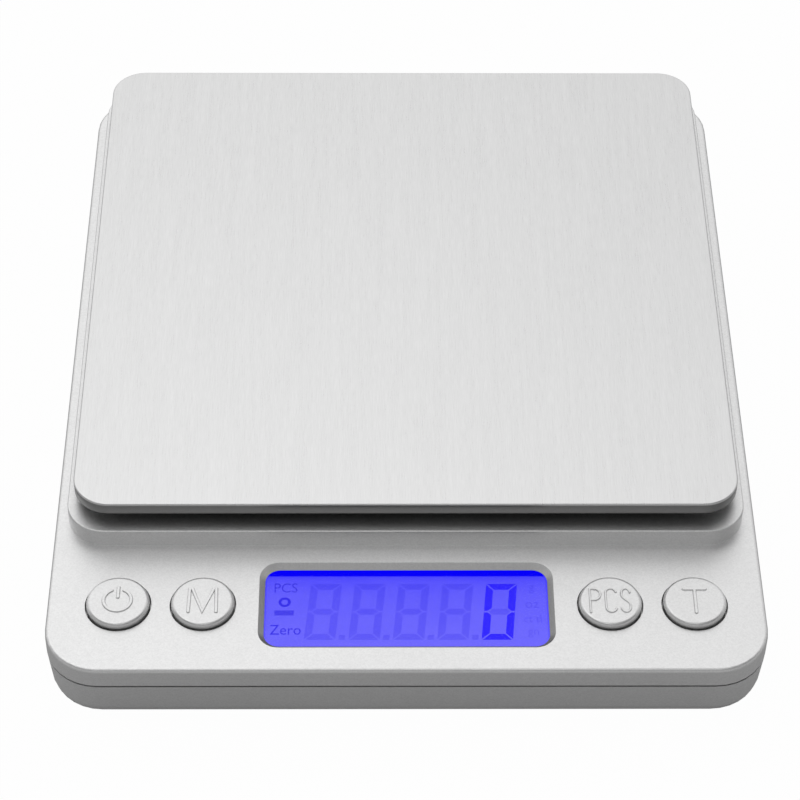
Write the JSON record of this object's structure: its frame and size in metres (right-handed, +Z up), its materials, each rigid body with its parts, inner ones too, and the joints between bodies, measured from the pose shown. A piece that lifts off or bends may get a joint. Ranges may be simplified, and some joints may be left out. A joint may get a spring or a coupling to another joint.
{
  "type": "digital gram scale",
  "caption": "Flat bench scale: steel weighing platform on a beam load cell, lit display, round keys and a battery door underneath.",
  "frame": {"origin": "on the bench, under the middle of the housing", "axes": "+X to the right, +Y to the back, +Z up"},
  "size_m": [0.106, 0.127, 0.019],
  "materials": {
    "silver_paint": "fine metallic silver paint over moulded plastic",
    "key_paint": "fine metallic silver paint, with raised symbols",
    "brushed_steel": "long-grain brushed stainless sheet",
    "clear_pane": "clear polished acrylic",
    "lcd_glass": "blue liquid crystal panel",
    "light_guide": "milky light guide",
    "white_plastic": "moulded",
    "black_plastic": "moulded",
    "black_rubber": "matt",
    "foam_tape": "soft adhesive foam",
    "board_green": "solder mask over fibre board",
    "zinc_plate": "bright zinc plate",
    "nickel_strip": "nickel plated spring steel",
    "cell_aluminium": "milled and clear anodised",
    "silicone": "cured white sealant",
    "battery_wrap": "printed film wrap over a steel can",
    "red_wire": "insulated wire",
    "black_wire": "insulated wire",
    "grey_cable": "cable sheath",
    "blue_sleeve": "shrunk plastic sleeve"
  },
  "bodies": {
    "root": {"upper_housing": "silver_paint", "lower_housing": "silver_paint", "display_window": "clear_pane", "lcd_panel": "lcd_glass", "backlight": "light_guide", "contact_strip": "black_rubber", "display_frame": "white_plastic", "main_board": "board_green", "controller_chip": "black_plastic", "amplifier_chip": "black_plastic", "capacitor": "blue_sleeve", "switch_power": "black_plastic", "switch_mode": "black_plastic", "switch_count": "black_plastic", "switch_tare": "black_plastic", "load_cell": "cell_aluminium", "gauge_seal_top": "silicone", "gauge_seal_bottom": "silicone", "cell_screw_inner": "zinc_plate", "cell_screw_outer": "zinc_plate", "foot_front_left": "black_rubber", "housing_screw_front_left": "zinc_plate", "foot_front_right": "black_rubber", "housing_screw_front_right": "zinc_plate", "foot_rear_left": "black_rubber", "housing_screw_rear_left": "zinc_plate", "foot_rear_right": "black_rubber", "housing_screw_rear_right": "zinc_plate", "board_screw_left": "zinc_plate", "board_screw_right": "zinc_plate", "battery_front": "battery_wrap", "battery_spring_front": "nickel_strip", "battery_contact_front": "nickel_strip", "battery_rear": "battery_wrap", "battery_spring_rear": "nickel_strip", "battery_contact_rear": "nickel_strip", "battery_bridge": "nickel_strip", "battery_lead_red": "red_wire", "battery_lead_black": "black_wire", "load_cell_cable": "grey_cable"},
    "platform": {"weighing_platform": "brushed_steel", "platform_carrier": "black_plastic", "carrier_screw_inner": "zinc_plate", "carrier_screw_outer": "zinc_plate", "adhesive_pad_front_left": "foam_tape", "adhesive_pad_front_right": "foam_tape", "adhesive_pad_rear_left": "foam_tape", "adhesive_pad_rear_right": "foam_tape"},
    "battery_door": {"battery_door": "silver_paint"},
    "key_power": {"button_power": "key_paint", "plunger_power": "white_plastic"},
    "key_mode": {"button_mode": "key_paint", "plunger_mode": "white_plastic"},
    "key_count": {"button_count": "key_paint", "plunger_count": "white_plastic"},
    "key_tare": {"button_tare": "key_paint", "plunger_tare": "white_plastic"}
  },
  "joints": [
    {"name": "platform_press", "type": "slide", "parent": "root", "child": "platform", "axis": [0, 0, -1], "range_m": [0, 0.00025], "stiffness_N_per_m": 20000},
    {"name": "key_power_press", "type": "slide", "parent": "root", "child": "key_power", "axis": [0, 0, -1], "range_m": [0, 0.0004], "stiffness_N_per_m": 3500},
    {"name": "key_mode_press", "type": "slide", "parent": "root", "child": "key_mode", "axis": [0, 0, -1], "range_m": [0, 0.0004], "stiffness_N_per_m": 3500},
    {"name": "key_count_press", "type": "slide", "parent": "root", "child": "key_count", "axis": [0, 0, -1], "range_m": [0, 0.0004], "stiffness_N_per_m": 3500},
    {"name": "key_tare_press", "type": "slide", "parent": "root", "child": "key_tare", "axis": [0, 0, -1], "range_m": [0, 0.0004], "stiffness_N_per_m": 3500},
    {"name": "battery_door_hinge", "type": "hinge", "parent": "root", "child": "battery_door", "pos_m": [0, 0.0555, 0.002], "axis": [1, 0, 0], "range_deg": [0, 95]}
  ]
}
